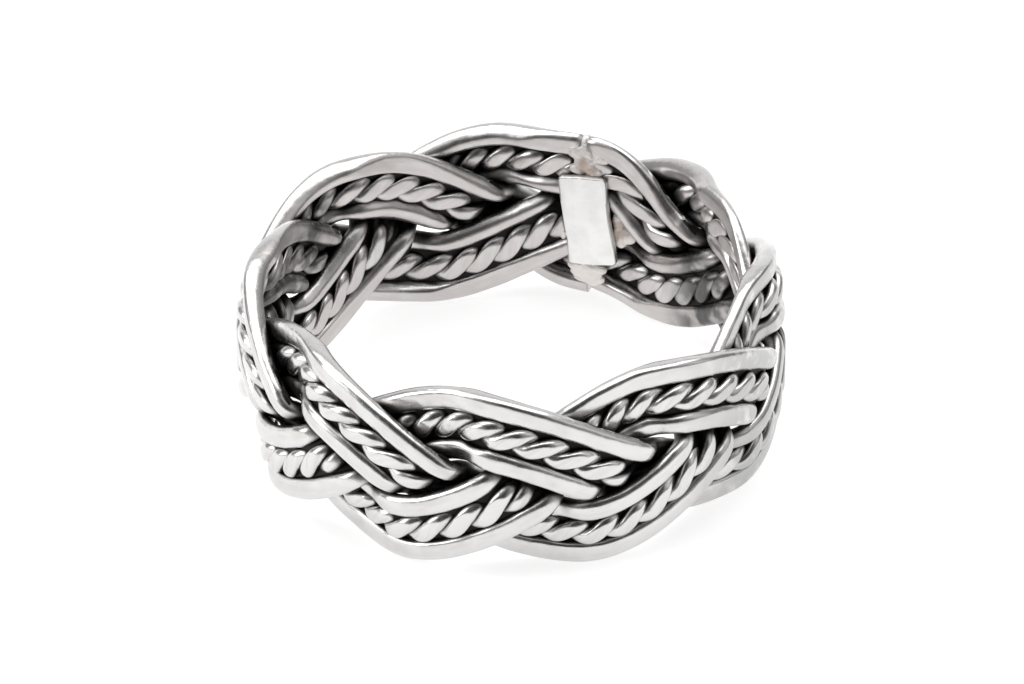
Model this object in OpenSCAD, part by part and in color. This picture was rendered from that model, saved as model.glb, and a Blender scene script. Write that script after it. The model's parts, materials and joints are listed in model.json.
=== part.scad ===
/* [Band] */
// Radius of the middle of the band, halfway between its inner and outer faces
middle_radius = 10.15; // [8.5:0.05:11.5]
// Width of the band, measured along the finger
band_width = 8.05; // [7.6:0.05:9]
// Radius of the round inner face that the wires are bent and rolled against
inner_radius = 9.24; // [7.6:0.02:10.6]
// Radius of the outer face that the wires are rolled down to
outer_radius = 11; // [9.4:0.02:12.4]
// How much closer to the finger the two rims lie than the middle of the band
rim_lean = 0.58; // [0.3:0.02:0.7]

/* [Braid] */
// How far a strand swings in and out from the middle of the band
swing = 0.48; // [0.48:0.01:0.6]
// Softness of the dives in the middle of the band, where smaller is more sudden
dive_softness = 0.16; // [0.1:0.01:0.2]
// Softness of the turn from the inner to the outer face along the rims
rim_softness = 0.6; // [0.4:0.05:0.8]
// Degrees of phase by which the leading wire of a strand dives first
dive_lead = 19.5; // [17:0.5:21]
// Gap kept between two wires of one strand
wire_gap = 0.02; // [0.02:0.01:0.06]

/* [Plain wires] */
// Width of a plain wire across the strand
plain_width = 0.94; // [0.7:0.02:0.94]
// Height of a plain wire through the band where it lies over or under another
plain_height = 0.72; // [0.5:0.02:0.72]
// Extra share of height where a plain wire forms the rim
rim_swell = 0.2; // [0:0.05:0.25]
// Share of height that a plain wire loses where it is nipped in a dive
dive_nip = 0.2; // [0.2:0.05:0.4]
// Number of sides of a plain wire
plain_sides = 6; // [6:2:10]
// Number of sections along a plain wire
plain_sections = 76; // [60:2:110]

/* [Twisted wires] */
// Width of the twisted pair over its two round wires
twist_width = 1.2; // [0.9:0.02:1.2]
// Height of the twisted pair through the band
twist_height = 0.9; // [0.6:0.02:0.92]
// Share of the height that is left in the groove between the two round wires
twist_waist = 0.5; // [0.3:0.05:0.6]
// Number of sections along a twisted pair
twist_sections = 200; // [180:10:240]

/* [Seam] */
// Place of the seam round the band, in degrees from the front
seam_angle = 161; // [0:1:359]
// Width of the slit between the cut ends of the braid
seam_slit = 0.3; // [0.24:0.02:0.5]
// Clearance between the solder and the wires
solder_gap = 0.04; // [0.03:0.01:0.08]
// Width of the small plate inside the band, along the finger's round
plate_width = 2.05; // [1.5:0.05:2.5]
// Height of the plate, along the finger
plate_height = 4.15; // [3:0.05:5]
// Thickness of the plate at its middle
plate_thickness = 0.36; // [0.3:0.02:0.5]
// Lean of the plate from upright, in degrees
plate_lean = 6.5; // [0:0.5:12]
// Height of the plate's middle above the middle of the band
plate_rise = 0.17; // [-0.5:0.01:0.5]
// How far the plate lies beside the seam, in degrees round the band
plate_offset = 1.6; // [-3:0.1:3]

/* [Hidden] */

strand_count = 3;
strand_phase = 360 / strand_count;

// Phase at which the first strand leaves the seam, where 0 is its highest point
// and 180 is its lowest
first_phase = 205.5;

// How far the braid has run at each angle from the seam. One leaf takes 120
// degrees of phase, and the leaves are uneven because they are bent by hand.
// The two ends meet 12 degrees of phase out of step.
// angle, phase
phase_rows = [
    [0, 0],
    [24, 57],
    [48, 120],
    [72, 188],
    [96, 256],
    [120, 319],
    [144, 384],
    [168, 452],
    [192, 518],
    [216, 585],
    [240, 647],
    [264, 710],
    [288, 774],
    [312, 840],
    [336, 910],
    [360, 972]
];
last_row = len(phase_rows) - 1;
row_step = 360 / last_row;

// Places where one strand was bent by hand ahead of the even braid, or behind it
// where the phase is below zero. They change only how high it lies, by a phase
// that fades with the angle from the place.
// strand, angle, phase, reach
bend_rows = [
    [0, 60, 6, 20],
    [0, 316, 26, 12],
    [0, 4, -20, 7],
    [1, 0, 32, 16],
    [1, 360, -8, 10],
    [2, 341, -10, 7],
    [2, 360, 26, 14]
];

// Middle of a plain wire, measured across the strand from the twisted wire
wire_offset = (plain_width + twist_width) / 2 + wire_gap;
// How far a strand's middle swings up and down from the middle of the band
strand_rise = (band_width - plain_width) / 2 - wire_offset;
middle_height = band_width / 2;
// Half step, in degrees, over which a wire's direction is measured
probe = 0.5;
// Angle from the middle of the seam to the cut ends, and the stretch beside a
// slanted cut in which a wire needs no other section
cut_angle = seam_slit / 2 / middle_radius * 180 / PI;
cut_reach = 2.5;

upper = 1;
middle = 0;
lower = -1;

// Lay of each strand's twisted pair: the number of lobes seen along one face, once
// round the band, and the share of a lobe by which the first one lies past the seam
// lobes, start
lay_rows = [
    [55, 0.25],
    [55, 0.24],
    [53, 0.7]
];

// Corners of half a twisted pair's section, as shares of its width and height:
// the tip, the shoulder of one round wire and the groove between the two
// across, through
twist_corners = [
    [1, 0],
    [0.74, 1],
    [0, twist_waist * 2]
];

// Radius at which the back of the plate and its solder lie on the wires
solder_radius = inner_radius - solder_gap;
// Strands at the seam, from the top one to the bottom one
seam_order = [1, 2, 0];
web_depth = 0.3;
web_overlap = 0.1;
web_reach = 2.6;

// Sides of a round drop of solder
drop_sides = 16;

// Drops of solder round the plate, all standing equally high on the inner face
bead_height = 0.3;
// along the round, up from the middle, radius
bead_rows = [
    [0.15, 2.5, 0.65],
    [-0.35, 2.6, 0.5],
    [0.3, 3, 0.5],
    [-0.35, -2.1, 0.6],
    [0.05, -2.4, 0.5],
    [-1.3, -0.1, 0.55],
    [1.05, -1.1, 0.45]
];

function row_phase(i) =
    i < 0 ? 2 * phase_rows[0][1] - phase_rows[1][1]
    : i > last_row ? 2 * phase_rows[last_row][1] - phase_rows[last_row - 1][1]
    : phase_rows[i][1];

// Smooth curve through the rows
function phase_at(angle) =
    let (
        i = max(0, min(last_row - 1, floor(angle / row_step))),
        u = angle / row_step - i,
        a = row_phase(i - 1),
        b = row_phase(i),
        c = row_phase(i + 1),
        d = row_phase(i + 2)
    )
    b + u * ((c - a) + u * ((2 * a - 5 * b + 4 * c - d) + u * (3 * (b - c) + d - a))) / 2;

function strand_at(strand, angle) = first_phase + phase_at(angle) + strand_phase * strand;

function sum(list) = list * [for (item = list) 1];

function bend_at(strand, angle) =
    sum([for (b = bend_rows) b[0] == strand ? b[2] * exp(-pow((angle - b[1]) / b[3], 2)) : 0]);

// How high a strand's middle lies above the middle of the band
function strand_height(strand, angle) =
    strand_rise * cos(strand_at(strand, angle) + bend_at(strand, angle));

// A wave from -1 to 1 that stays long at its two ends
function flat_wave(x, softness) = sin(x) * sqrt((1 + softness ^ 2) / (sin(x) ^ 2 + softness ^ 2));

// Place of a wire between the inner face, at -1, and the outer face, at 1
function dive_wave(strand, offset, angle) =
    let (
        t = strand_at(strand, angle),
        softness = dive_softness + (rim_softness - dive_softness) * cos(t) ^ 2
    )
    flat_wave(2 * (t - dive_lead * offset / strand_rise * sin(t)), softness);

// Middle of a wire that runs at the given offset across its strand
function wire_point(strand, offset, angle) =
    let (
        rise = strand_height(strand, angle + probe) - strand_height(strand, angle - probe),
        climb = rise / (2 * probe * PI / 180 * middle_radius),
        stretch = sqrt(1 + climb ^ 2),
        z = strand_height(strand, angle) + offset / stretch,
        lean = rim_lean * (z / middle_height) ^ 2,
        r = middle_radius + swing * dive_wave(strand, offset, angle) - lean,
        round = seam_angle + angle - offset * climb / stretch / middle_radius * 180 / PI
    )
    [r * sin(round), -r * cos(round), z];

function unit(v) = v / norm(v);

// Directions across the strand and out through the band, at one place on a wire
function wire_axes(strand, offset, angle) =
    let (
        here = wire_point(strand, offset, angle),
        along = unit(wire_point(strand, offset, angle + probe) - wire_point(strand, offset, angle - probe)),
        across = unit(cross([here.x, here.y, 0], along))
    )
    [across, cross(along, across)];

// The wires are rolled round inside and outside, so no point leaves the band
function rolled(p) =
    let (
        r = norm([p.x, p.y]),
        share = max(inner_radius, min(outer_radius, r)) / r
    )
    [p.x * share, p.y * share, p.z + middle_height];

// One section of a wire: its corners are given across the strand and through the band.
// At either end of the wire they slide along it to the flat face that the saw left.
function wire_section(strand, offset, angle, corners) =
    let (
        here = wire_point(strand, offset, angle),
        axes = wire_axes(strand, offset, angle),
        along = cross(axes[0], axes[1]),
        is_end = angle == cut_angle || angle == 360 - cut_angle,
        saw_face = [cos(seam_angle + angle), sin(seam_angle + angle), 0]
    )
    [for (c = corners)
        let (p = here + axes[0] * c.x + axes[1] * c.y)
        rolled(is_end ? p - along * (p * saw_face) / (along * saw_face) : p)];

// Height of a plain wire, more on the rim and less in a dive
function plain_height_at(strand, side, angle) =
    let (
        rim = max(0, side * strand_height(strand, angle) / strand_rise) ^ 4,
        dive = 1 - dive_wave(strand, side * wire_offset, angle) ^ 2
    )
    plain_height * (1 + rim_swell * rim - dive_nip * dive * (1 - rim));

function plain_corners(height) =
    let (widest = plain_width / 2, flat = height / 2 / sin(360 / plain_sides * floor(plain_sides / 4 + 0.5)))
    [for (i = [0 : plain_sides - 1])
        [widest * cos(360 * i / plain_sides), flat * sin(360 * i / plain_sides)]];

// The twisted pair's section, turned by the lay of the twist and then pressed to its height
function twist_section(turn) =
    let (half = concat(twist_corners, [[-twist_corners[1].x, twist_corners[1].y]]))
    [for (way = [1, -1], c = half)
        let (x = way * c.x, y = way * c.y / 2)
        [
            twist_width / 2 * (x * cos(turn) - y * sin(turn)),
            twist_height / 2 * (x * sin(turn) + y * cos(turn))
        ]];

// Closed tube through a list of sections that all have the same number of corners
module tube(sections) {
    sides = len(sections[0]);
    last = len(sections) - 1;
    walls = [for (i = [0 : last - 1], j = [0 : sides - 1], half = [0, 1])
        let (
            a = i * sides + j,
            b = i * sides + (j + 1) % sides
        )
        half == 0 ? [a, b + sides, b] : [a, a + sides, b + sides]];
    first_cap = [for (j = [0 : sides - 1]) j];
    last_cap = [for (j = [sides - 1 : -1 : 0]) last * sides + j];
    polyhedron([for (s = sections, p = s) p], concat([first_cap], walls, [last_cap]));
}

// Angle from the seam at each section. The slanted cut ends take the place of the
// sections that lie too close to them.
function section_angles(count) = [
    cut_angle,
    for (i = [1 : count - 1])
        let (angle = 360 * i / count)
        if (angle > cut_angle + cut_reach && angle < 360 - cut_angle - cut_reach) angle,
    360 - cut_angle
];

module plain_wire(strand, side) {
    color("silver")
        tube([for (angle = section_angles(plain_sections))
            wire_section(strand, side * wire_offset, angle, plain_corners(plain_height_at(strand, side, angle)))]);
}

// Turn of a twisted pair, which is laid left-handed. A lobe lies outermost at 90 degrees.
function lay_turn(strand, angle) =
    90 - 180 * (lay_rows[strand][0] * angle / 360 - lay_rows[strand][1]);

module twisted_wire(strand) {
    color("gainsboro")
        tube([for (angle = section_angles(twist_sections))
            wire_section(strand, 0, angle, twist_section(lay_turn(strand, angle)))]);
}

// Turns a shape whose X points out through the band to the given angle round it
module at_angle(angle) {
    rotate([0, 0, angle - 90]) translate([0, 0, middle_height]) children();
}

module bare_plate() {
    at_angle(seam_angle - plate_offset)
        translate([solder_radius - plate_thickness, 0, plate_rise])
            rotate([-plate_lean, 0, 0])
                translate([0, -plate_width / 2, -plate_height / 2])
                    cube([plate_thickness * 2, plate_width, plate_height]);
}

module solder_beads() {
    for (bead = bead_rows)
        at_angle(seam_angle - plate_offset)
            translate([solder_radius - bead_height + bead[2], bead[0], bead[1]])
                sphere(bead[2], $fn = drop_sides);
}

// Solder that fills the slit between the cut ends, from the plate to the outer face
module solder_web() {
    ends = [for (strand = seam_order, side = [upper, middle, lower])
        let (p = wire_point(strand, side * wire_offset, 0))
        [norm([p.x, p.y]), p.z]];
    outside = [for (p = ends) [p.x + web_depth, p.y]];
    inside = [
        [ends[len(ends) - 1].x - web_depth, ends[len(ends) - 1].y],
        [solder_radius - web_overlap, -web_reach],
        [solder_radius - web_overlap, web_reach],
        [ends[0].x - web_depth, ends[0].y]
    ];
    thickness = seam_slit - 2 * solder_gap;
    at_angle(seam_angle)
        translate([0, thickness / 2, 0])
            rotate([90, 0, 0])
                linear_extrude(thickness)
                    polygon(concat(outside, inside));
}

module seam_plate() {
    color("whitesmoke") {
        intersection() {
            union() {
                bare_plate();
                solder_beads();
            }
            cylinder(h = band_width, r = solder_radius, $fn = drop_sides * 4);
        }
        solder_web();
    }
}

plain_wire(0, upper);  // strand_1_upper_wire
twisted_wire(0);  // strand_1_twisted_wire
plain_wire(0, lower);  // strand_1_lower_wire
plain_wire(1, upper);  // strand_2_upper_wire
twisted_wire(1);  // strand_2_twisted_wire
plain_wire(1, lower);  // strand_2_lower_wire
plain_wire(2, upper);  // strand_3_upper_wire
twisted_wire(2);  // strand_3_twisted_wire
plain_wire(2, lower);  // strand_3_lower_wire
seam_plate();
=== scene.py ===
"""Dresses the braided band ring: polished wires, twisted pairs, the seam plate and its solder.

Sizes are in metres where no comment says millimetres, and the braid's angles in degrees.
Angles round the ring are counted from its front, at -Y, towards +X.
"""

import json
import math

import bmesh
import bpy
import numpy as np
from mathutils import Euler, Matrix, Vector
from mathutils.bvhtree import BVHTree

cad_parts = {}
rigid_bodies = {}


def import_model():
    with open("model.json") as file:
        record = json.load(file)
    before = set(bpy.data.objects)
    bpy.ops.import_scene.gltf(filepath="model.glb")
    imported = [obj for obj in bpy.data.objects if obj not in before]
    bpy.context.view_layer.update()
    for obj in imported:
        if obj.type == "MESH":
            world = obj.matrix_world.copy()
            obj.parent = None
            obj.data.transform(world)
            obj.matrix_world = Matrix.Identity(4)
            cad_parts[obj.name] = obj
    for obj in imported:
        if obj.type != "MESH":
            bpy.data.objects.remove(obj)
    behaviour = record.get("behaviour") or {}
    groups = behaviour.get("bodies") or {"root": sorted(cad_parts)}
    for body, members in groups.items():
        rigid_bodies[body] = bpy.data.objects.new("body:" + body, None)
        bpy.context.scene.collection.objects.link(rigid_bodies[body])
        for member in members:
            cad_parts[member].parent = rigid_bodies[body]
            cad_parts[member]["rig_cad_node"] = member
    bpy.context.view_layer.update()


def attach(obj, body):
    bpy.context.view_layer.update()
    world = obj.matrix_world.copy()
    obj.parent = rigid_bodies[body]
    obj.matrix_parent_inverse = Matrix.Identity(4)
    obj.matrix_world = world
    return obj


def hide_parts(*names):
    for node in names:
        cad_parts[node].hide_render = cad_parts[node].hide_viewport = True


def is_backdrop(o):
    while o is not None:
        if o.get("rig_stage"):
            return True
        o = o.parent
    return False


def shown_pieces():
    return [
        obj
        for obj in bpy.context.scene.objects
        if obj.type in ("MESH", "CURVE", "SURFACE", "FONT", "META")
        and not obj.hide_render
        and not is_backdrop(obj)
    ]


bl_info = {
    "name": "Braided Band Ring",
    "version": (1, 0, 0),
    "blender": (4, 2, 0),
    "location": "3D View > Sidebar > Ring",
    "description": "Models and finishes a braided band ring over its packed solids",
    "category": "Object",
}

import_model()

MM = 0.001
UPPER = 1
MIDDLE = 0
LOWER = -1
STRAND_COUNT = 3
SIDE_NAMES = {UPPER: "upper", LOWER: "lower"}

# How far the braid has run, in degrees of phase, at every 24 degrees from the seam
PHASE_STEP = 24
PHASES = np.array((0, 57, 120, 188, 256, 319, 384, 452, 518, 585, 647, 710, 774, 840, 910, 972), dtype=float)
# Phase of the first strand at the seam
FIRST_PHASE = 205.5
# Places where one strand was bent by hand ahead of the braid, or behind it where the phase is
# below zero: strand, angle, phase, reach
BEND_ROWS = (
    (0, 60, 6, 20),
    (0, 316, 26, 12),
    (0, 4, -20, 7),
    (1, 0, 32, 16),
    (1, 360, -8, 10),
    (2, 341, -10, 7),
    (2, 360, 26, 14),
)
# Lay of each strand's twisted pair: lobes once round the band, and where the first one lies
LAY_ROWS = ((55, 0.25), (55, 0.24), (53, 0.70))
# Degrees to each side of a point that measure a wire's course, and a twisted wire's lay
PROBE = 0.5
LAY_PROBE = 0.05
# Degrees beside a cut end that get no section of their own
CUT_REACH = 2.5
# Waves of uneven handwork: how many go round the band, how strong, how far the seed shifts them
HAND_WAVES = ((7, 1.0, 1.0), (17, 0.8, 2.3), (41, 0.6, 4.1))
# Share of its height that a twisted pair keeps when it is pressed
PAIR_SQUEEZE = 0.86
# Share of a swing over which a twisted pair lies too deep for the wheel, so oxide and painted shade darken
# it
PAIR_SUNK_REACH = 0.45
# Points across the dark ribbon of painted shade beside a twisted pair
RIBBON_POINTS = 9


def length(name, millimetres):
    """A size, given in millimetres and kept in metres."""
    return bpy.props.FloatProperty(name=name, default=millimetres * MM, min=0.0, precision=5, unit="LENGTH")


def number(name, default, low=0.0, high=1.0):
    """A plain number or share."""
    return bpy.props.FloatProperty(name=name, default=default, min=low, max=high)


def count(name, default):
    """A whole number."""
    return bpy.props.IntProperty(name=name, default=default, min=1)


def tint(name, default):
    """A colour with no alpha."""
    return bpy.props.FloatVectorProperty(
        name=name, default=default, subtype="COLOR", size=3, min=0.0, max=1.0
    )


class BraidSizes(bpy.types.PropertyGroup):
    """Sizes of the band and its braid."""

    middle_radius: length("Radius of the middle of the band", 10.15)
    band_width: length("Width of the band along the finger", 8.05)
    inner_radius: length("Radius of the rolled inner face", 9.245)
    outer_radius: length("Radius of the rolled outer face", 10.975)
    rim_lean: length("How much closer to the finger the rims lie", 0.58)
    swing: length("How far a strand swings in and out", 0.48)
    dive_softness: number("Softness of the dives in the middle of the band", 0.16)
    rim_softness: number("Softness of the turn along the rims", 0.6)
    dive_lead: number("Degrees by which the leading wire dives first", 19.5, 0, 40)
    plain_pitch_width: length("Plain width that the wires' spacing is made for", 0.94)
    twist_pitch_width: length("Twisted width that the spacing is made for", 1.2)
    wire_gap: length("Gap in the wires' spacing", 0.02)
    rim_bevel: length("Bevel between the inner face and the rims", 0.2)
    seam_angle: number("Place of the seam in degrees from the front", 161.0, 0, 360)
    seam_slit: length("Width of the slit between the cut ends", 0.08)


class PlainWireSizes(bpy.types.PropertyGroup):
    """Sizes of the flattened plain wires."""

    width: length("Width of a plain wire across the strand", 0.92)
    height: length("Height of a plain wire through the band", 0.74)
    rim_swell: number("Extra share of height along the rim", 0.2)
    nose: number("Share of width lost where a wire dives", 0.14)
    nose_reach: number("Share of a swing over which a wire gets narrow", 0.42)
    inner_taper: number("Share of width that the face towards the finger loses", 0.42)
    squareness: number("Squareness, 2 for an ellipse and more for tighter edges", 2.7, 2, 8)
    rim_squareness: number("Squareness that a wire gains along the rim", 1.6, 0, 8)
    hammering: number("Share by which the hand-worked section varies", 0.045, 0, 0.2)
    sides: count("Corners of one section", 32)
    sections: count("Sections along one wire", 720)


class TwistedWireSizes(bpy.types.PropertyGroup):
    """Sizes of the twisted pairs."""

    lay_radius: length("Distance of a round wire's middle from the pair's", 0.28)
    wire_radius: length("Radius of each round wire", 0.352)
    pressed_half: length("Half height that the pair is pressed to", 0.45)
    press_softness: length("Roundness of the shoulders of the pressed faces", 0.03)
    # the solder beside the pair is a thin dark sheet that puts painted shade in the gaps between the wires
    fill_half_width: length("Half width of the solder beside the pair", 0.86)
    fill_dive_width: length("Half width that it gains where strands cross", 0.75)
    fill_dive_reach: number("Share of a swing over which the solder gets wider", 0.42)
    fill_half_height: length("Half height of the solder beside the pair", 0.05)
    sides: count("Corners of one round wire", 20)
    sections: count("Sections along one round wire", 900)


class PlateSizes(bpy.types.PropertyGroup):
    """Sizes of the seam plate and the solder round it."""

    width: length("Width of the plate round the band", 2.05)
    height: length("Height of the plate along the finger", 4.15)
    thickness: length("Thickness of the plate", 0.3)
    back_radius: length("Distance of the plate's back from the axis", 9.24)
    lean: number("Lean of the plate from upright in degrees", 6.5, -20, 20)
    rise: length("Height of the plate above the band's middle", 0.17)
    offset: number("Degrees that the plate lies beside the seam", 1.6, -10, 10)
    corner: length("Roundness of the plate's four corners", 0.16)
    edge: length("Roundness of the plate's front edge", 0.06)
    web_thickness: length("Thickness of the solder in the slit", 0.16)


class SilverLook(bpy.types.PropertyGroup):
    """Colours and gloss of the silver."""

    bright: tint("Colour of the polished faces", (0.69, 0.684, 0.68))
    warm: tint("Colour of the faces that are a little tarnished", (0.58, 0.55, 0.538))
    # painted shade: the outer faces at the right are darker
    right_outer_shade: tint("Colour of the outer faces at the right", (0.47, 0.466, 0.462))
    tarnish: tint("Colour of the inner faces at the two sides", (0.10, 0.096, 0.095))
    # oxide in the recesses, deepened with painted shade where the wires shade each other
    oxide_and_shade: tint("Colour of the blackened recesses", (0.024, 0.022, 0.021))
    solder: tint("Colour of the bare solder", (0.86, 0.82, 0.79))
    flux: tint("Colour of the solder where flux burnt on it", (0.58, 0.49, 0.43))
    # painted shade in the solder's corners
    solder_corner_shade: tint("Colour in the solder's corners", (0.16, 0.13, 0.115))
    plate: tint("Colour of the satin plate", (0.93, 0.925, 0.91))
    # painted shade where the plate meets the wires
    plate_gap_shade: tint("Colour where the plate meets the wires", (0.16, 0.14, 0.13))
    polish: number("Roughness of the polished faces", 0.24)
    dull: number("Roughness of the blackened recesses", 0.5)


class StudioSettings(bpy.types.PropertyGroup):
    """Camera and light."""

    elevation: number("Degrees that the camera looks down", 33.354, 0, 90)
    distance: length("Distance of the camera from the ring's middle", 310.06)
    roll: number("Degrees that the camera is rolled", -0.907, -10, 10)
    lens: number("Focal length in millimetres on a 36 mm sensor", 273.3, 10, 500)
    key_power: number("Power of the softbox overhead in watts", 2.3, 0, 50)
    left_power: number("Power of the softbox at the left in watts", 1.25, 0, 50)
    right_power: number("Power of the softbox at the right in watts", 0.15, 0, 50)
    fill: number("Brightness of the room", 0.5, 0, 5)
    horizon: number("Brightness at eye height, as a share of the fill", 0.45)
    camera_side: number("Brightness round the camera, as a share of the rest", 0.12)
    floor_tint: tint("Colour of the floor", (0.44, 0.44, 0.44))
    floor_glow: number("Light that the floor gives off, as a lit table does", 0.75, 0, 2)


SETTINGS = {
    "ring_braid": BraidSizes,
    "ring_plain": PlainWireSizes,
    "ring_twisted": TwistedWireSizes,
    "ring_plate": PlateSizes,
    "ring_look": SilverLook,
    "ring_studio": StudioSettings,
}


def wire_offset(braid):
    """Middle of a plain wire, measured across the strand from the twisted pair."""
    return (braid.plain_pitch_width + braid.twist_pitch_width) / 2 + braid.wire_gap


def strand_rise(braid):
    """How far a strand's middle swings up and down."""
    return (braid.band_width - braid.plain_pitch_width) / 2 - wire_offset(braid)


def phase_at(angle):
    """Smooth curve through the phases of the table."""
    padded = np.concatenate([[2 * PHASES[0] - PHASES[1]], PHASES, [2 * PHASES[-1] - PHASES[-2]]])
    i = np.clip(np.floor(angle / PHASE_STEP), 0, len(PHASES) - 2).astype(int)
    u = angle / PHASE_STEP - i
    a, b, c, d = padded[i], padded[i + 1], padded[i + 2], padded[i + 3]
    return b + u * ((c - a) + u * ((2 * a - 5 * b + 4 * c - d) + u * (3 * (b - c) + d - a))) / 2


def strand_at(strand, angle):
    """Phase of a strand in degrees, where 0 is its highest point and 180 its lowest."""
    return FIRST_PHASE + phase_at(angle) + 360 / STRAND_COUNT * strand


def strand_height(braid, strand, angle):
    """How high a strand's middle lies above the middle of the band."""
    phase = strand_at(strand, angle)
    for bent, place, extra, reach in BEND_ROWS:
        if bent == strand:
            phase = phase + extra * np.exp(-((angle - place) / reach) ** 2)
    return strand_rise(braid) * np.cos(np.radians(phase))


def swing_wave(braid, strand, offset, angle):
    """Wave from -1 to 1 that is 0 where a wire crosses the band's middle or turns at a rim."""
    t = np.radians(strand_at(strand, angle))
    return np.sin(2 * (t - np.radians(braid.dive_lead) * offset / strand_rise(braid) * np.sin(t)))


def dive_wave(braid, strand, offset, angle):
    """Place of a wire between the inner face, at -1, and the outer face, at 1."""
    t = np.radians(strand_at(strand, angle))
    softness = braid.dive_softness + (braid.rim_softness - braid.dive_softness) * np.cos(t) ** 2
    wave = swing_wave(braid, strand, offset, angle)
    return wave * np.sqrt((1 + softness ** 2) / (wave ** 2 + softness ** 2))


def wire_point(braid, strand, offset, angle):
    """Middle of a wire that runs at the given offset across its strand."""
    rise = strand_height(braid, strand, angle + PROBE) - strand_height(braid, strand, angle - PROBE)
    climb = rise / (math.radians(2 * PROBE) * braid.middle_radius)
    stretch = np.sqrt(1 + climb ** 2)
    z = strand_height(braid, strand, angle) + offset / stretch
    lean = braid.rim_lean * (z / (braid.band_width / 2)) ** 2
    r = braid.middle_radius + braid.swing * dive_wave(braid, strand, offset, angle) - lean
    turn = np.radians(braid.seam_angle + angle) - offset * climb / stretch / braid.middle_radius
    return np.stack([r * np.sin(turn), -r * np.cos(turn), z], axis=-1)


def unit(vectors):
    """Vectors of length one."""
    return vectors / np.linalg.norm(vectors, axis=-1, keepdims=True)


def wire_course(braid, strand, offset, angle):
    """Middle of a wire, and the directions across the strand, out through the band and along."""
    here = wire_point(braid, strand, offset, angle)
    along = unit(
        wire_point(braid, strand, offset, angle + PROBE) - wire_point(braid, strand, offset, angle - PROBE)
    )
    outward = here * (1, 1, 0)
    across = unit(np.cross(outward, along))
    return here, across, np.cross(along, across), along


def soft_limit(value, limit, softness):
    """The value, held below a limit with a round shoulder."""
    return value - softness * np.logaddexp(0, (value - limit) / softness)


def rolled(braid, points):
    """Points pressed between the two round faces and the two flat rims."""
    softness = 0.02 * MM
    inner_softness = 3 * softness
    bevel_softness = 0.05 * MM
    r = np.linalg.norm(points[..., :2], axis=-1)
    held = soft_limit(r, braid.outer_radius, softness)
    held = -soft_limit(-held, -braid.inner_radius, inner_softness)
    z = points[..., 2] + braid.band_width / 2
    z = soft_limit(z, braid.band_width - softness, softness)
    z = -soft_limit(-z, -softness, softness)
    for rim, way in ((0, 1), (braid.band_width, -1)):
        room = (held - braid.inner_radius) + (z - rim) * way
        pushed = bevel_softness * np.logaddexp(0, (braid.rim_bevel - room) / bevel_softness) / 2
        held = held + pushed
        z = z + pushed * way
    return np.stack([points[..., 0] * held / r, points[..., 1] * held / r, z], axis=-1)


def section_angles(braid, sections):
    """Angles from the seam, with the cut ends in place of the sections that lie too near them."""
    cut = math.degrees(braid.seam_slit / 2 / braid.middle_radius)
    inside = np.linspace(0, 360, sections + 1)
    inside = inside[(inside > cut + CUT_REACH) & (inside < 360 - cut - CUT_REACH)]
    return np.concatenate([[cut], inside, [360 - cut]])


def cut_ends(braid, rings, along, angle):
    """Slides the first and last sections along the wire to the flat sawn faces."""
    for i in (0, -1):
        turn = math.radians(braid.seam_angle + angle[i])
        face = np.array([math.cos(turn), math.sin(turn), 0])
        rings[i] -= np.outer(rings[i] @ face / (along[i] @ face), along[i])
    return rings


def hand_variation(angle, seed):
    """A slow wave of about plus or minus one for uneven handwork."""
    a = np.radians(angle)
    total = sum(strength * np.sin(waves * a + shift * seed) for waves, strength, shift in HAND_WAVES)
    return total / sum(strength for _, strength, _ in HAND_WAVES)


def vertex_rows(mesh, name):
    """One property of every vertex, as rows of three numbers."""
    values = np.empty(len(mesh.vertices) * 3)
    mesh.vertices.foreach_get(name, values)
    return values.reshape(-1, 3)


def keep_on_mesh(mesh, name, values):
    """Keeps a number for each vertex as an attribute."""
    mesh.attributes.new(name, "FLOAT", "POINT").data.foreach_set("value", np.array(values, dtype=np.float32))


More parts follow.
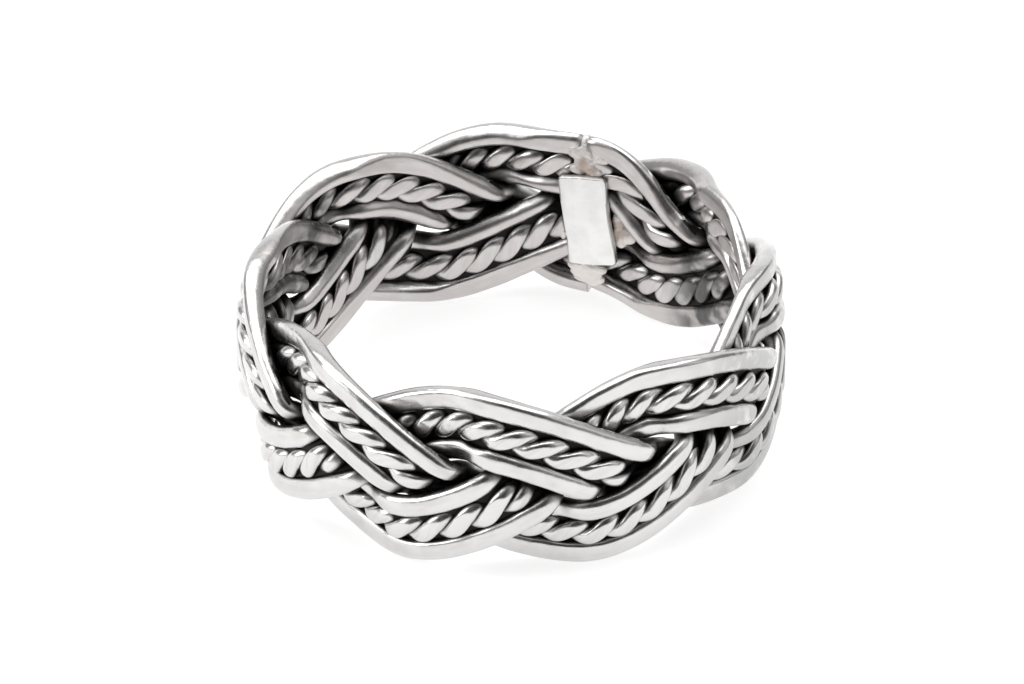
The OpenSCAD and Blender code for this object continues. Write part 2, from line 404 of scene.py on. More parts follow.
def swept_mesh(name, tubes, sunk):
    """A mesh of closed tubes, each an array of sections by corners by three.

    It gets a UV map with the length along the tube in millimetres and the share round it, and
    an attribute with how far each section has sunk below the polished faces, for oxide and painted shade.
    """
    points = []
    faces = []
    uvs = []
    base = 0
    for rings in tubes:
        sections, sides = rings.shape[:2]
        middles = rings.mean(axis=1)
        runs = np.concatenate([[0], np.cumsum(np.linalg.norm(np.diff(middles, axis=0), axis=1))]) / MM
        points.append(rings.reshape(-1, 3))
        points.append(middles[[0, -1]])
        i, j = np.meshgrid(np.arange(sections - 1), np.arange(sides), indexing="ij")
        i, j = i.ravel(), j.ravel()
        corners = [(i, j), (i, j + 1), (i + 1, j + 1), (i + 1, j)]
        walls = np.stack([a * sides + b % sides for a, b in corners], axis=1)
        faces.extend((walls + base).tolist())
        wall_uvs = [np.stack([runs[a], b / sides], axis=1) for a, b in corners]
        uvs.append(np.stack(wall_uvs, axis=1).reshape(-1, 2))
        first_hub = base + sections * sides
        last_ring = base + (sections - 1) * sides
        for side in range(sides):
            after = (side + 1) % sides
            faces.append([first_hub, base + after, base + side])
            faces.append([first_hub + 1, last_ring + side, last_ring + after])
            uvs.append(np.array([(run, side / sides) for run in runs[[0, 0, 0, -1, -1, -1]]]))
        base += sections * sides + 2
    mesh = bpy.data.meshes.new(name)
    mesh.from_pydata(np.concatenate(points).tolist(), [], faces)
    layer = mesh.uv_layers.new(name="run")
    layer.data.foreach_set("uv", np.concatenate(uvs).astype(np.float32).ravel())
    depths = [np.concatenate([np.repeat(s, rings.shape[1]), s[[0, -1]]]) for rings, s in zip(tubes, sunk)]
    keep_on_mesh(mesh, "sunk", np.concatenate(depths))
    shape = bmesh.new()
    shape.from_mesh(mesh)
    if shape.calc_volume(signed=True) < 0:
        bmesh.ops.reverse_faces(shape, faces=shape.faces)
        shape.to_mesh(mesh)
    shape.free()
    mesh.polygons.foreach_set("use_smooth", np.ones(len(mesh.polygons), dtype=bool))
    mesh.update()
    return mesh


def claim_piece(piece, nodes):
    """Makes an object a piece that rides on the ring and stands for CAD nodes."""
    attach(piece, "root")
    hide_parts(*nodes)


def new_object(data):
    """Links a mesh, a light or a camera as an object of the same name."""
    item = bpy.data.objects.new(data.name, data)
    bpy.context.scene.collection.objects.link(item)
    return item


def plain_wire_rings(braid, plain, strand, side):
    """Sections of one plain wire, and how far each one has sunk."""
    angle = section_angles(braid, plain.sections)
    offset = side * wire_offset(braid)
    here, across, through, along = wire_course(braid, strand, offset, angle)
    rim = np.maximum(0, side * strand_height(braid, strand, angle) / strand_rise(braid)) ** 4
    seed = 3 * strand + side
    height = plain.height * (1 + plain.rim_swell * rim)
    height = height * (1 + plain.hammering * hand_variation(angle, seed))
    width = plain.width * (1 + plain.hammering * hand_variation(angle, seed + 9.7))
    swing = np.abs(swing_wave(braid, strand, offset, angle))
    nose = (1 - np.clip(swing / plain.nose_reach, 0, 1) ** 2) * (1 - rim)
    width = width * (1 - plain.nose * nose)
    turn = np.linspace(0, 2 * math.pi, plain.sides, endpoint=False)
    power = (2 / (plain.squareness + plain.rim_squareness * rim))[:, None]
    wide = np.sign(np.cos(turn)) * np.abs(np.cos(turn)) ** power / 2
    high = np.sign(np.sin(turn)) * np.abs(np.sin(turn)) ** power / 2
    wide = wide * (1 - plain.inner_taper * np.maximum(0, -2 * high))
    rings = (
        here[:, None]
        + across[:, None] * (width[:, None] * wide)[..., None]
        + through[:, None] * (height[:, None] * high)[..., None]
    )
    return rolled(braid, cut_ends(braid, rings, along, angle)), nose ** 2


def crossing_share(braid, strand, reach, angle):
    """1 where a strand dives through the others, 0 beyond the reach and along the rims."""
    near = 1 - np.clip(np.abs(swing_wave(braid, strand, 0, angle)) / reach, 0, 1) ** 2
    return near * (1 - np.cos(np.radians(strand_at(strand, angle))) ** 4)


def twisted_wire_rings(braid, twisted, strand, which):
    """Sections of one of the two round wires of a twisted pair, pressed to the pair's height."""
    angle = section_angles(braid, twisted.sections)

    def lay(a):
        middle, across, through, along = wire_course(braid, strand, 0, a)
        lobes, start = LAY_ROWS[strand]
        turn = np.radians(90 - 180 * (lobes * a / 360 - start) + 180 * which)[:, None]
        spoke = across * np.cos(turn) + through * np.sin(turn)
        return middle, across, through, along, middle + twisted.lay_radius * spoke

    middle, across, through, along, path = lay(angle)
    course = unit(lay(angle + LAY_PROBE)[-1] - lay(angle - LAY_PROBE)[-1])
    course[[0, -1]] = along[[0, -1]]
    spoke = unit(path - middle)
    spoke = unit(spoke - course * np.sum(spoke * course, axis=1, keepdims=True))
    beside = np.cross(course, spoke)
    turn = np.linspace(0, 2 * math.pi, twisted.sides, endpoint=False)
    rings = path[:, None] + twisted.wire_radius * (
        spoke[:, None] * np.cos(turn)[:, None] + beside[:, None] * np.sin(turn)[:, None]
    )
    local = rings - middle[:, None]
    high = np.einsum("ijk,ik->ij", local, through)
    softness = twisted.press_softness
    pressed = soft_limit(high * PAIR_SQUEEZE, twisted.pressed_half, softness)
    pressed = -soft_limit(-pressed, twisted.pressed_half, softness)
    rings = rings + through[:, None] * (pressed - high)[..., None]
    sunk = crossing_share(braid, strand, PAIR_SUNK_REACH, angle)
    return rolled(braid, cut_ends(braid, rings, along, angle)), sunk


def shade_sheet_rings(braid, twisted, strand):
    """Sections of a thin dark sheet that joins a twisted pair to the wires beside it and fills the gaps with
    painted shade.
    """
    angle = section_angles(braid, twisted.sections // 2)
    crossing = crossing_share(braid, strand, twisted.fill_dive_reach, angle)
    half_width = twisted.fill_half_width + twisted.fill_dive_width * crossing
    front = []
    back = []
    for share in np.linspace(-1, 1, RIBBON_POINTS):
        step = share * half_width
        here, across, through, along = wire_course(braid, strand, step, angle)
        front.append(here + through * twisted.fill_half_height)
        back.append(here - through * twisted.fill_half_height)
    rings = np.stack(front + back[::-1], axis=1)
    along = wire_course(braid, strand, 0, angle)[3]
    return rolled(braid, cut_ends(braid, rings, along, angle)), np.ones(len(angle))


class RING_OT_plain_wires(bpy.types.Operator):
    """Sweep the six flattened plain wires along the braid"""

    bl_idname = "ring.plain_wires"
    bl_label = "Plain Wires"

    def execute(self, context):
        scene = context.scene
        for strand in range(STRAND_COUNT):
            for side in (UPPER, LOWER):
                rings, sunk = plain_wire_rings(scene.ring_braid, scene.ring_plain, strand, side)
                mesh = swept_mesh(f"polished_{SIDE_NAMES[side]}_wire_{strand + 1}", [rings], [sunk])
                nodes = [f"strand_{strand + 1}_{SIDE_NAMES[side]}_wire"]
                claim_piece(new_object(mesh), nodes)
        return {"FINISHED"}


class RING_OT_twisted_wires(bpy.types.Operator):
    """Lay the two round wires of each twisted pair round each other"""

    bl_idname = "ring.twisted_wires"
    bl_label = "Twisted Wires"

    def execute(self, context):
        braid = context.scene.ring_braid
        twisted = context.scene.ring_twisted
        for strand in range(STRAND_COUNT):
            tubes = [twisted_wire_rings(braid, twisted, strand, which) for which in (0, 1)]
            # a thin dark sheet beside the pair fills the gaps with painted shade
            tubes.append(shade_sheet_rings(braid, twisted, strand))
            rings, sunk = zip(*tubes)
            mesh = swept_mesh(f"twisted_pair_{strand + 1}", rings, sunk)
            claim_piece(new_object(mesh), [f"strand_{strand + 1}_twisted_wire"])
        return {"FINISHED"}


def seam_place(braid, angle, unit_size=1.0):
    """Matrix that sets a thing at an angle round the band, with its X pointing outwards."""
    middle = Matrix.Translation((0, 0, braid.band_width / 2 / unit_size))
    return middle @ Matrix.Rotation(math.radians(angle - 90), 4, "Z")


def only(*pieces):
    """Selects these objects alone and makes the first one active."""
    bpy.ops.object.select_all(action="DESELECT")
    for piece in pieces:
        piece.select_set(True)
    bpy.context.view_layer.objects.active = pieces[0]


def apply_modifier(piece, kind, **settings):
    """Puts a modifier on the active object, sets it and applies it."""
    modifier = piece.modifiers.new(kind, kind)
    for key, value in settings.items():
        setattr(modifier, key, value)
    bpy.ops.object.modifier_apply(modifier=modifier.name)


# Vertex, edge and face mode of selection
SELECT_MODES = {"edges": (False, True, False), "faces": (False, False, True)}


def select_where(piece, kind, test):
    """In edit mode, selects the edges or faces that a test picks, and nothing else."""
    bpy.context.tool_settings.mesh_select_mode = SELECT_MODES[kind]
    bpy.ops.mesh.select_all(action="DESELECT")
    shape = bmesh.from_edit_mesh(piece.data)
    for part in getattr(shape, kind):
        if test(part):
            part.select_set(True)
    shape.select_flush_mode()
    bmesh.update_edit_mesh(piece.data)


class RING_OT_seam_plate(bpy.types.Operator):
    """Model the small bare plate that covers the seam inside the band"""

    bl_idname = "ring.seam_plate"
    bl_label = "Seam Plate"

    def execute(self, context):
        braid = context.scene.ring_braid
        sizes = context.scene.ring_plate
        # one unit to the millimetre, because bevels need room
        thickness, width, height = sizes.thickness / MM, sizes.width / MM, sizes.height / MM
        bpy.ops.mesh.primitive_cube_add(size=1)
        plate = context.object
        plate.name = "bare_plate"
        plate.data.name = "bare_plate"
        plate.scale = (thickness, width, height)
        bpy.ops.object.transform_apply(location=False, rotation=False, scale=True)
        bpy.ops.object.mode_set(mode="EDIT")
        select_where(plate, "edges", lambda e: abs(e.verts[0].co.x - e.verts[1].co.x) > thickness / 2)
        bpy.ops.mesh.bevel(offset=sizes.corner / MM, segments=3)
        select_where(plate, "faces", lambda f: f.normal.x < -0.9)
        bpy.ops.mesh.inset(thickness=sizes.edge / MM / 2)
        select_where(
            plate,
            "edges",
            lambda e: len(e.link_faces) == 2
            and min(v.co.x for v in e.verts) < 0.001 - thickness / 2
            and min(abs(f.normal.x) for f in e.link_faces) < 0.5,
        )
        bpy.ops.mesh.bevel(offset=sizes.edge / MM, segments=3)
        bpy.ops.mesh.select_all(action="SELECT")
        bpy.ops.mesh.quads_convert_to_tris()
        bpy.ops.mesh.subdivide(number_cuts=3, smoothness=0)
        bpy.ops.object.mode_set(mode="OBJECT")
        for v in plate.data.vertices:
            y = v.co.y / (width / 2)
            z = v.co.z / (height / 2)
            # filed by hand: a slight crown, one corner lower, waists in the long sides
            v.co.x += 0.035 * (y * y + 0.6 * z * z) * (1 if v.co.x < 0 else 0)
            v.co.x += 0.02 * math.sin(2.1 * y + 3.3 * z)
            v.co.y += 0.025 * math.sin(4.2 * z + 0.6) - 0.02 * y * math.cos(2.4 * z)
            v.co.z += 0.03 * math.sin(2.6 * y + 1.1) * (1 if z > 0 else -0.6)
        place = (
            seam_place(braid, braid.seam_angle - sizes.offset)
            @ Matrix.Translation((sizes.back_radius - sizes.thickness / 2, 0, sizes.rise))
            @ Matrix.Rotation(math.radians(-sizes.lean), 4, "X")
            @ Matrix.Scale(MM, 4)
        )
        plate.data.transform(place)
        plate.data.update()
        only(plate)
        bpy.ops.object.shade_smooth_by_angle(angle=math.radians(40))
        claim_piece(plate, ["seam_plate"])
        return {"FINISHED"}


# Lumps of solder in millimetres: along the round from the plate, up from the band's middle,
# out from the wires' inner face, then their half sizes along, up and through
SOLDER_LUMPS = (
    (0.14, 3.75, 0.22, 0.25, 0.26, 0.24),
    (0.58, 3.26, 0.03, 0.40, 0.30, 0.11),
    (0.16, 3.22, 0.02, 0.40, 0.42, 0.12),
    (-0.46, 3.06, 0.05, 0.54, 0.22, 0.11),
    (0.16, 2.80, 0.02, 0.48, 0.40, 0.13),
    (0.48, 2.46, 0.02, 0.36, 0.24, 0.14),
    (-0.26, 2.48, 0.03, 0.44, 0.26, 0.14),
    (-1.24, 0.20, 0.10, 0.26, 0.56, 0.13),
    (-1.36, -0.36, 0.11, 0.38, 0.42, 0.15),
    (-1.64, -0.52, 0.12, 0.40, 0.30, 0.12),
    (-1.34, -0.80, 0.10, 0.28, 0.24, 0.12),
    (1.14, -0.70, 0.10, 0.20, 0.44, 0.12),
    (0.36, -2.28, 0.14, 0.66, 0.30, 0.16),
    (-0.26, -2.30, 0.14, 0.50, 0.28, 0.16),
    (0.20, -2.64, 0.26, 0.74, 0.32, 0.18),
    (0.00, -2.94, 0.42, 0.58, 0.32, 0.18),
    (0.30, -3.02, 0.50, 0.60, 0.28, 0.18),
    (0.08, -3.26, 0.66, 0.50, 0.26, 0.20),
)
# How finely the lumps melt together in millimetres, how often they are smoothed, how high they
# ripple, and how far they keep from the finger's axis
MELT_SIZE = 0.045
FLOW_STEPS = 12
RIPPLE_HEIGHT = 0.014
CLEAR_RADIUS = 8.7
# The web in the slit, in millimetres: how far it goes on past the last wires' middles, half its
# depth, and how far up and down it stands out behind the plate
WEB_PAST_ENDS = 0.26
WEB_HALF_DEPTH = 0.42
WEB_PLATE_REACH = 2.2
# Places where flux burnt brown on the solder, in millimetres: along the round, up, radius
FLUX_SPOTS = (
    (0.18, 3.02, 0.18),
    (0.14, 2.74, 0.30),
    (0.02, 2.44, 0.46),
    (-1.28, 0.10, 0.34),
    (-1.36, -0.30, 0.30),
)


class RING_OT_solder(bpy.types.Operator):
    """Model the solder round the plate and in the slit as one melted lump"""

    bl_idname = "ring.solder"
    bl_label = "Solder"

    def execute(self, context):
        braid = context.scene.ring_braid
        sizes = context.scene.ring_plate
        face = braid.inner_radius / MM
        parts = []
        around_plate = seam_place(braid, braid.seam_angle - sizes.offset, MM)
        for along, up, out, half_along, half_up, half_through in SOLDER_LUMPS:
            bpy.ops.mesh.primitive_uv_sphere_add(segments=24, ring_count=12, radius=1)
            lump = context.object
            lump.data.transform(
                around_plate
                @ Matrix.Translation((face + out, along, up))
                @ Matrix.Diagonal((half_through, half_along, half_up, 1))
            )
            parts.append(lump)
        parts.append(self.web(context, braid, sizes))
        only(*parts)
        bpy.ops.object.join()
        solder = context.object
        solder.name = "melted_solder"
        solder.data.name = "melted_solder"
        apply_modifier(solder, "REMESH", mode="VOXEL", voxel_size=MELT_SIZE)
        apply_modifier(solder, "SMOOTH", factor=0.5, iterations=FLOW_STEPS)
        for v in solder.data.vertices:
            ripple = math.sin(7 * v.co.z + 2 * v.co.x) * math.sin(9 * v.co.x - 5 * v.co.z)
            ripple += 0.6 * math.sin(17 * v.co.z - 6 * v.co.x) * math.sin(19 * v.co.x + 11 * v.co.z)
            r = math.hypot(v.co.x, v.co.y)
            new_r = min(max(r + RIPPLE_HEIGHT * ripple, CLEAR_RADIUS), braid.outer_radius / MM)
            v.co.x *= new_r / r
            v.co.y *= new_r / r
        self.burn(solder.data, around_plate)
        solder.data.transform(Matrix.Scale(MM, 4))
        solder.data.update()
        only(solder)
        bpy.ops.object.shade_smooth()
        claim_piece(solder, ["seam_plate"])
        return {"FINISHED"}

    def burn(self, mesh, around_plate):
        """Keeps on the mesh how much flux burnt at each point."""
        back = around_plate.inverted()
        burnt = []
        for v in mesh.vertices:
            here = back @ v.co
            burnt.append(max(
                math.exp(-((here.y - along) ** 2 + (here.z - up) ** 2) / radius ** 2)
                for along, up, radius in FLUX_SPOTS
            ))
        keep_on_mesh(mesh, "flux", burnt)

    def web(self, context, braid, sizes):
        """The solder in the slit: a grid that follows the cut ends from rim to rim."""
        face = braid.inner_radius / MM
        ends = []
        for strand in (1, 2, 0):
            for side in (UPPER, MIDDLE, LOWER):
                x, y, z = wire_point(braid, strand, side * wire_offset(braid), np.array([0.0]))[0]
                ends.append((math.hypot(x, y) / MM, z / MM))
        radii, heights = np.array(ends)[::-1].T
        bpy.ops.mesh.primitive_cube_add(size=1)
        web = context.object
        bpy.ops.object.mode_set(mode="EDIT")
        bpy.ops.mesh.select_all(action="SELECT")
        bpy.ops.mesh.subdivide(number_cuts=19)
        bpy.ops.object.mode_set(mode="OBJECT")
        for v in web.data.vertices:
            z = heights[0] - WEB_PAST_ENDS + (v.co.z + 0.5) * (heights[-1] - heights[0] + 2 * WEB_PAST_ENDS)
            middle = float(np.interp(z, heights, radii))
            half = WEB_HALF_DEPTH * (1 - 0.3 * (abs(z) / 4) ** 4)
            outer = middle + half
            inner = middle - half
            # it stands out of the wires behind the plate alone
            if abs(z) < WEB_PLATE_REACH:
                inner = min(inner, face - 0.02)
            else:
                inner = max(inner, face + 0.03)
            x = inner + (v.co.x + 0.5) * (outer - inner)
            v.co = Vector((x, v.co.y * sizes.web_thickness / MM, z))
        web.data.transform(seam_place(braid, braid.seam_angle, MM))
        return web


# Millimetres from the metal to the start of a ray
RAY_LIFT = 0.012


def even_directions(amount):
    """Directions over a half sphere about Z, closer together near Z, the same each run."""
    golden = math.pi * (3 - math.sqrt(5))
    rows = []
    for i in range(amount):
        high = math.sqrt((i + 0.5) / amount)
        wide = math.sqrt(1 - high * high)
        rows.append((wide * math.cos(golden * i), wide * math.sin(golden * i), high))
    return np.array(rows)


class RING_OT_shade_and_patina(bpy.types.Operator):
    """Keep on each mesh how open its points lie, for the oxide and painted shade in the recesses, and which
    way they face
    """

    bl_idname = "ring.patina"
    bl_label = "Patina"

    reach: length("Distance over which metal shades metal", 1.1)
    rays: count("Rays from each vertex that casts any", 14)
    stride: count("One vertex in so many casts rays", 3)
    spreads: count("Steps that spread the result to the other vertices", 4)

    def execute(self, context):
        pieces = [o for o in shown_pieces() if "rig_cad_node" not in o]
        # solder flowed on after the blackening, so it casts no oxide and no painted shade on the rest, and
        # comes last
        pieces.sort(key=lambda o: o.name.startswith("melted_solder"))
        points = []
        faces = []
        base = 0
        for piece in pieces:
            points.append(vertex_rows(piece.data, "co"))
            if not piece.name.startswith("melted_solder"):
                faces.extend([[base + v for v in p.vertices] for p in piece.data.polygons])
            base += len(points[-1])
        # in millimetres, because the tree merges what lies closer than its own small step
        tree = BVHTree.FromPolygons((np.concatenate(points) / MM).tolist(), faces, epsilon=0.0)
        lobes = even_directions(self.rays)
        for piece, co in zip(pieces, points):
            self.shade(piece, co / MM, tree, lobes)
        return {"FINISHED"}

    def shade(self, piece, co, tree, lobes):
        """Casts rays from some vertices and spreads the result over the mesh."""
        mesh = piece.data
        normals = vertex_rows(mesh, "normal")
        side = np.where(np.abs(normals[:, 2:]) < 0.9, (0.0, 0.0, 1.0), (1.0, 0.0, 0.0))
        first = unit(np.cross(normals, side))
        second = np.cross(normals, first)
        reach = self.reach / MM
        open_share = np.full(len(co), -1.0)
        starts = co + normals * RAY_LIFT
        for i in range(0, len(co), self.stride):
            shade = 0.0
            start = starts[i]
            world = lobes[:, :1] * first[i] + lobes[:, 1:2] * second[i] + lobes[:, 2:] * normals[i]
            for way in world:
                distance = tree.ray_cast(start, way, reach)[3]
                if distance is not None:
                    shade += 1 - 0.5 * distance / reach
            open_share[i] = 1 - shade / len(lobes)
        edges = np.empty(len(mesh.edges) * 2, dtype=int)
        mesh.edges.foreach_get("vertices", edges)
        edges = edges.reshape(-1, 2)
        a, b = np.concatenate([edges, edges[:, ::-1]]).T
        known = (open_share >= 0).astype(float)
        total = np.where(open_share >= 0, open_share, 0.0)
        for _ in range(self.spreads):
            weight = np.bincount(a, known[b], minlength=len(co)) + known
            value = np.bincount(a, total[b], minlength=len(co)) + total
            share = value / np.maximum(weight, 1e-9)
            known = (weight > 0).astype(float)
            total = share * known
        keep_on_mesh(mesh, "exposed", total)
        outward = unit(co * (1, 1, 0) + (1e-9, 0, 0))
        facing = np.sum(outward * normals, axis=1)
        keep_on_mesh(mesh, "inward", np.clip(-facing, 0, 1))
        keep_on_mesh(mesh, "outward", np.clip(facing, 0, 1))


def arithmetic(operation, swapped=False):
    """A method that does a sum with a signal by adding a Math node."""

    def method(self, other):
        first, second = (other, self) if swapped else (self, other)
        node = self.net.make("ShaderNodeMath", {"operation": operation}, {0: first, 1: second})
        return Signal(self.net, node.outputs[0])

    return method


class Signal:
    """A number that varies over a surface or over the room. Sums with it add Math nodes."""

    def __init__(self, net, socket):
        self.net = net
        self.socket = socket

    __add__ = arithmetic("ADD")
    __radd__ = arithmetic("ADD", swapped=True)
    __sub__ = arithmetic("SUBTRACT")
    __rsub__ = arithmetic("SUBTRACT", swapped=True)
    __mul__ = arithmetic("MULTIPLY")

    def step(self, low, high, start=0.0, end=1.0):
        """A smooth step from start to end while the signal goes from low to high."""
        node = self.net.make(
            "ShaderNodeMapRange",
            {"interpolation_type": "SMOOTHSTEP"},
            {"Value": self, "From Min": low, "From Max": high, "To Min": start, "To Max": end},
        )
        return Signal(self.net, node.outputs["Result"])


class NodeNet:
    """A node tree that grows by one node at a time."""

    def __init__(self, tree):
        self.tree = tree

    def make(self, kind, settings, values):
        """Adds a node, sets it, then fills its sockets with values or links."""
        node = self.tree.nodes.new(kind)
        for key, value in settings.items():
            setattr(node, key, value)
        for key, value in values.items():
            socket = node.inputs[key]
            if isinstance(value, Signal):
                value = value.socket
            if isinstance(value, bpy.types.NodeSocket):
                self.tree.links.new(value, socket)
            else:
                socket.default_value = value
        return node


class Finish(NodeNet):
    """A material with its node tree."""

    def __init__(self, name):
        self.material = bpy.data.materials.new(name)
        self.material.use_nodes = True
        super().__init__(self.material.node_tree)
        self.tree.nodes.clear()
        self.output = self.make("ShaderNodeOutputMaterial", {}, {})
        self.place = self.make("ShaderNodeTexCoord", {}, {}).outputs["Object"]

    def attribute(self, name):
        """A number kept on the mesh."""
        node = self.make("ShaderNodeAttribute", {"attribute_name": name}, {})
        return Signal(self, node.outputs["Fac"])

    def axis(self, name):
        """One of the object's own coordinates, in metres."""
        node = self.make("ShaderNodeSeparateXYZ", {}, {"Vector": self.place})
        return Signal(self, node.outputs[name])

    def noise(self, per_mm, detail=2.0, roughness=0.5, stretch=(1, 1, 1), along=None):
        """Noise in the object's place, or along a wire when a UV map's name is given."""
        if along is None:
            source = self.place
            scale = [s / MM for s in stretch]
        else:
            source = self.make("ShaderNodeUVMap", {"uv_map": along}, {}).outputs["UV"]
            scale = list(stretch)
        mapped = self.make("ShaderNodeMapping", {}, {"Vector": source, "Scale": scale})
        values = {"Vector": mapped.outputs[0], "Scale": per_mm, "Detail": detail, "Roughness": roughness}
        return Signal(self, self.make("ShaderNodeTexNoise", {}, values).outputs["Fac"])

    def mix(self, share, first, second):
        """A colour between two colours or links."""
        a, b = (c if isinstance(c, bpy.types.NodeSocket) else (*c, 1) for c in (first, second))
        return self.make("ShaderNodeMix", {"data_type": "RGBA"}, {0: share, 6: a, 7: b}).outputs[2]

    def bump(self, height, distance, below=None):
        """A Bump node for a height in the signal times a distance in metres."""
        values = {"Height": height, "Distance": distance}
        if below is not None:
            values["Normal"] = below
        return self.make("ShaderNodeBump", {}, values).outputs["Normal"]

    def surface(self, color, roughness, metallic, normal, **constants):
        """The closing shader."""
        values = {"Base Color": color, "Roughness": roughness, "Metallic": metallic, "Normal": normal}
        values.update(constants)
        shader = self.make("ShaderNodeBsdfPrincipled", {}, values)
        self.tree.links.new(shader.outputs[0], self.output.inputs["Surface"])
        return self.material


def wire_finish(look, name, dark_end, bright_start, along_scratches):
    """Polished silver over recesses blackened with oxide and painted shade, with fine scratches along the
    wire.
    """
    finish = Finish(name)
    exposed = finish.attribute("exposed")
    inward = finish.attribute("inward")
    cloud = finish.noise(1.1, detail=3)
    grit = finish.noise(9.0, detail=4, roughness=0.65)
    # oxide and painted shade: the less open a point lies and the deeper it has sunk, the darker it is
    level = exposed + (cloud - 0.5) * 0.12 + (grit - 0.5) * 0.1 - finish.attribute("sunk") * 0.3
    shine = level.step(dark_end, bright_start)
    streak = finish.noise(1.0, detail=3, roughness=0.6, stretch=(0.35, 7, 1), along="run")
    warmth = (streak * 0.7 + cloud * 0.3 + inward * 0.2).step(0.42, 0.78)
    silver = finish.mix(warmth, look.bright, look.warm)
    # the inside is grey where no wheel reached it: low on the right and half way up on the left
    across = finish.axis("X")
    height = finish.axis("Z")
    half_way_up = height.step(3.0 * MM, 3.9 * MM) * height.step(7.0 * MM, 6.2 * MM)
    left = across.step(-6.6 * MM, -7.8 * MM) * half_way_up
    right = across.step(6.0 * MM, 7.6 * MM) * height.step(4.8 * MM, 3.9 * MM)
    grey = (left + right) * inward.step(0.1, 0.5) * cloud.step(0.42, 0.68, 1.0, 0.35)
    silver = finish.mix(grey, silver, look.tarnish)
    # and the outer faces towards the right are darker, as painted shade
    outward = finish.attribute("outward").step(0.3, 0.8)
    right_outer_shade = across.step(6.0 * MM, 9.6 * MM) * outward * cloud.step(0.25, 0.5)
    silver = finish.mix(right_outer_shade, silver, look.right_outer_shade)
    color = finish.mix(shine, look.oxide_and_shade, silver)
    scratch = finish.noise(1.0, detail=5, roughness=0.7, stretch=(0.5, along_scratches, 1), along="run")
    hazy = finish.noise(4.0, detail=3)
    polish = look.polish + (scratch - 0.5) * 0.12 + (hazy - 0.5) * 0.12 + inward * 0.08
    roughness = shine * polish + (1 - shine) * look.dull
    planish = finish.noise(1.6, detail=1)
    pits = finish.noise(13.0, detail=2).step(0.69, 0.76)
    normal = finish.bump(planish, 0.03 * MM)
    normal = finish.bump(scratch, 0.004 * MM, below=normal)
    normal = finish.bump(1 - pits, 0.003 * MM, below=normal)
    return finish.surface(color, roughness, 1.0, normal)


def plate_finish(look):
    """Satin plate, filed by hand, with painted shade towards its edges where it meets the wires."""
    finish = Finish("satin_plate")
    exposed = finish.attribute("exposed")
    cloud = finish.noise(1.3, detail=3, roughness=0.55)
    fine = finish.noise(14.0, detail=4, roughness=0.6)
    # painted shade where the plate meets the wires and the rays find metal close by
    unshaded = (exposed + (cloud - 0.5) * 0.15).step(0.2, 0.62)
    tone = finish.mix(cloud.step(0.35, 0.75), look.plate, tuple(c * 0.9 for c in look.plate))
    color = finish.mix(unshaded, look.plate_gap_shade, tone)
    filed = finish.noise(9.0, detail=3, roughness=0.7, stretch=(1, 1, 0.12))
    normal = finish.bump(cloud, 0.02 * MM)
    normal = finish.bump(filed, 0.004 * MM, below=normal)
    return finish.surface(color, 0.4 + (fine - 0.5) * 0.15, 0.85, normal)


def solder_finish(look):
    """Matte pale solder, brown where flux burnt on it, with painted shade in its corners."""
    finish = Finish("bare_solder")
    exposed = finish.attribute("exposed")
    cloud = finish.noise(1.5, detail=4, roughness=0.6)
    fine = finish.noise(9.0, detail=5, roughness=0.65)
    burnt = (finish.attribute("flux") + (cloud - 0.5) * 0.5 + (fine - 0.5) * 0.5).step(0.05, 1.0)
    tone = finish.mix(burnt, look.solder, look.flux)
    # painted shade in the solder's corners, where the wires hem it in
    unshaded = (exposed + (fine - 0.5) * 0.3).step(-0.1, 0.3)
    color = finish.mix(unshaded, look.solder_corner_shade, tone)
    normal = finish.bump(cloud, 0.05 * MM)
    normal = finish.bump(fine, 0.03 * MM, below=normal)
    return finish.surface(color, 0.5 + (fine - 0.5) * 0.3, 0.75, normal)


class RING_OT_finishes(bpy.types.Operator):
    """Give every piece its silver"""

    bl_idname = "ring.finishes"
    bl_label = "Finishes"

    def execute(self, context):
        look = context.scene.ring_look
        by_start = {
            "polished_": wire_finish(look, "polished_plain_wire", 0.25, 0.7, 30.0),
            "twisted_": wire_finish(look, "polished_twisted_wire", 0.32, 0.62, 14.0),
            "bare_plate": plate_finish(look),
            "melted_solder": solder_finish(look),
        }
        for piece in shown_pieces():
            for start, material in by_start.items():
                if piece.name.startswith(start):
                    piece.data.materials.clear()
                    piece.data.materials.append(material)
        return {"FINISHED"}


# The floor in metres: its size, where the slope at its back leads, how round its foot is
FLOOR_SIZE = 1.6
SLOPE = (0, 0.2, 0.7)
SLOPE_FOOT = 0.25
# The photo's width and how far its middle lies right of and above the camera's, in pixels
PHOTO_WIDTH = 1024
SHIFT_RIGHT = 1.3
SHIFT_UP = -1.9


def softbox(name, place, aim, size, power):
    """An area light that looks at a point."""
    data = bpy.data.lights.new(name, "AREA")
    data.shape = "RECTANGLE"
    data.size, data.size_y = size
    data.energy = power
    lamp = new_object(data)
    lamp.location = place
    lamp.rotation_euler = (Vector(aim) - Vector(place)).to_track_quat("-Z", "Y").to_euler()


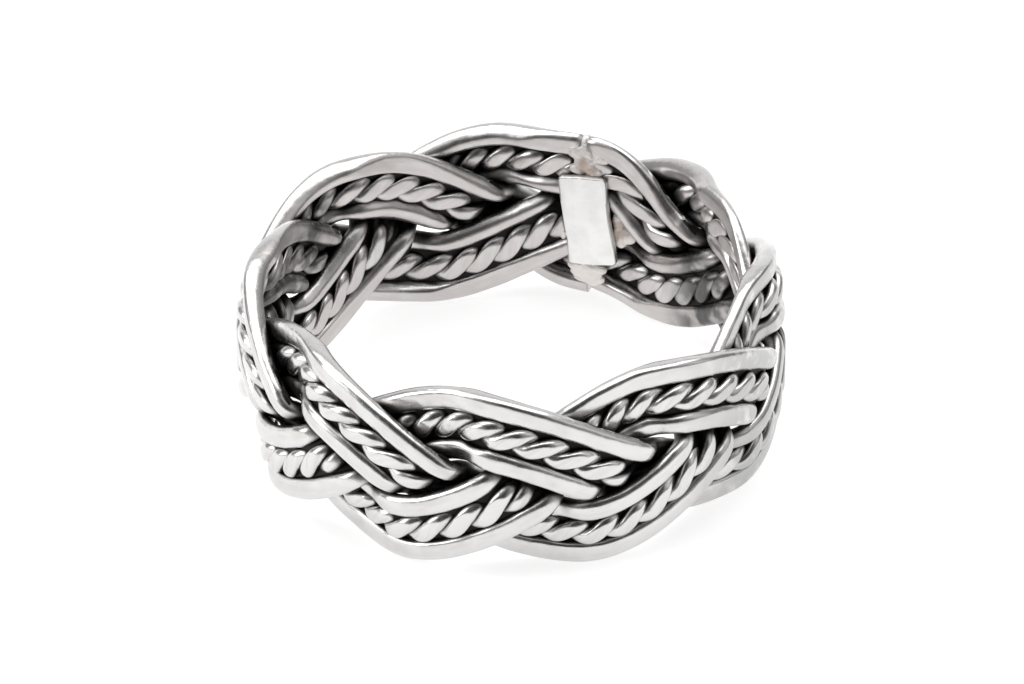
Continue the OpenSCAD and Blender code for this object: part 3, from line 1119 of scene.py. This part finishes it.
class RING_OT_stage(bpy.types.Operator):
    """Set the pale floor, the soft light and the camera at the photo's angle"""

    bl_idname = "ring.stage"
    bl_label = "Stage"

    def execute(self, context):
        scene = context.scene
        studio = scene.ring_studio
        middle = Vector((0, 0, scene.ring_braid.band_width / 2))
        bpy.ops.mesh.primitive_plane_add(size=FLOOR_SIZE)
        floor = context.object
        floor.name = "pale_floor"
        bpy.ops.object.mode_set(mode="EDIT")
        back_edge = FLOOR_SIZE / 2 - MM
        select_where(floor, "edges", lambda e: all(v.co.y > back_edge for v in e.verts))
        bpy.ops.mesh.extrude_region_move(TRANSFORM_OT_translate={"value": SLOPE})
        select_where(floor, "edges", lambda e: all(v.co.y > back_edge and v.co.z < MM for v in e.verts))
        bpy.ops.mesh.bevel(offset=SLOPE_FOOT, segments=12)
        bpy.ops.object.mode_set(mode="OBJECT")
        bpy.ops.object.shade_smooth()
        paper = Finish("floor_paper")
        mottle = paper.noise(0.01, detail=1)
        shade = paper.mix(mottle, studio.floor_tint, tuple(c * 0.985 for c in studio.floor_tint))
        glow = {"Emission Color": (1, 1, 1, 1), "Emission Strength": studio.floor_glow}
        grain = paper.bump(mottle, 0.01 * MM)
        floor.data.materials.append(paper.surface(shade, 0.75, 0.0, grain, **glow))
        floor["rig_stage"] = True

        softbox("overhead_softbox", (0.0, 0.12, 0.5), middle, (0.7, 0.5), studio.key_power)
        softbox("left_softbox", (-0.5, -0.12, 0.26), middle, (0.3, 0.4), studio.left_power)
        softbox("right_softbox", (0.5, -0.12, 0.26), middle, (0.3, 0.4), studio.right_power)

        scene.view_settings.view_transform = "Standard"
        tilt = math.radians(studio.elevation)
        back = Vector((0, -math.cos(tilt), math.sin(tilt)))
        self.light_room(scene, studio, back)

        data = bpy.data.cameras.new("photo_camera")
        data.sensor_width = 36
        data.lens = studio.lens
        data.clip_start = 0.01
        data.shift_x = SHIFT_RIGHT / PHOTO_WIDTH
        data.shift_y = SHIFT_UP / PHOTO_WIDTH
        camera = new_object(data)
        camera.location = middle + back * studio.distance
        turn = Euler((math.radians(90 - studio.elevation), 0, 0)).to_matrix()
        roll = Matrix.Rotation(math.radians(studio.roll), 3, "Z")
        camera.rotation_euler = (turn @ roll).to_euler()
        scene.camera = camera
        return {"FINISHED"}

    def light_room(self, scene, studio, back):
        """A white room that is darker at eye height and round the camera."""
        world = bpy.data.worlds.new("white_room")
        scene.world = world
        world.use_nodes = True
        room = NodeNet(world.node_tree)
        direction = room.make("ShaderNodeTexCoord", {}, {}).outputs["Generated"]
        height = room.make("ShaderNodeSeparateXYZ", {}, {"Vector": direction}).outputs["Z"]
        ramp = room.make("ShaderNodeValToRGB", {}, {"Fac": height})
        low, high = ramp.color_ramp.elements
        low.position = 0.1
        low.color = (studio.horizon, studio.horizon, studio.horizon, 1)
        high.position = 0.7
        # the dark round the camera shows as dark lines in the rounded wires
        facing = room.make("ShaderNodeVectorMath", {"operation": "DOT_PRODUCT"}, {0: direction, 1: back})
        shade = Signal(room, facing.outputs["Value"]).step(0.72, 0.93, 1.0, studio.camera_side)
        values = {0: ramp.outputs["Color"], "Scale": shade}
        dimmed = room.make("ShaderNodeVectorMath", {"operation": "SCALE"}, values)
        background = room.tree.nodes["Background"]
        background.inputs["Strength"].default_value = studio.fill
        room.tree.links.new(dimmed.outputs["Vector"], background.inputs["Color"])


class RING_PT_panel(bpy.types.Panel):
    """Lists the ring's steps and sizes in the sidebar"""

    bl_idname = "RING_PT_panel"
    bl_label = "Braided Band Ring"
    bl_space_type = "VIEW_3D"
    bl_region_type = "UI"
    bl_category = "Ring"

    def draw(self, context):
        layout = self.layout
        for step in STEPS:
            layout.operator(step.bl_idname)
        for name, group in SETTINGS.items():
            box = layout.box()
            box.label(text=group.__doc__)
            for key in group.__annotations__:
                box.prop(getattr(context.scene, name), key)


STEPS = (
    RING_OT_plain_wires,
    RING_OT_twisted_wires,
    RING_OT_seam_plate,
    RING_OT_solder,
    RING_OT_shade_and_patina,
    RING_OT_finishes,
    RING_OT_stage,
)
CLASSES = (*SETTINGS.values(), *STEPS, RING_PT_panel)


def register():
    for item in CLASSES:
        bpy.utils.register_class(item)
    for name, group in SETTINGS.items():
        setattr(bpy.types.Scene, name, bpy.props.PointerProperty(type=group))


def unregister():
    for name in SETTINGS:
        delattr(bpy.types.Scene, name)
    for item in reversed(CLASSES):
        bpy.utils.unregister_class(item)


def main():
    register()
    bpy.ops.ring.plain_wires()
    bpy.ops.ring.twisted_wires()
    bpy.ops.ring.seam_plate()
    bpy.ops.ring.solder()
    bpy.ops.ring.patina()
    bpy.ops.ring.finishes()
    bpy.ops.ring.stage()


if __name__ == "__main__":
    main()
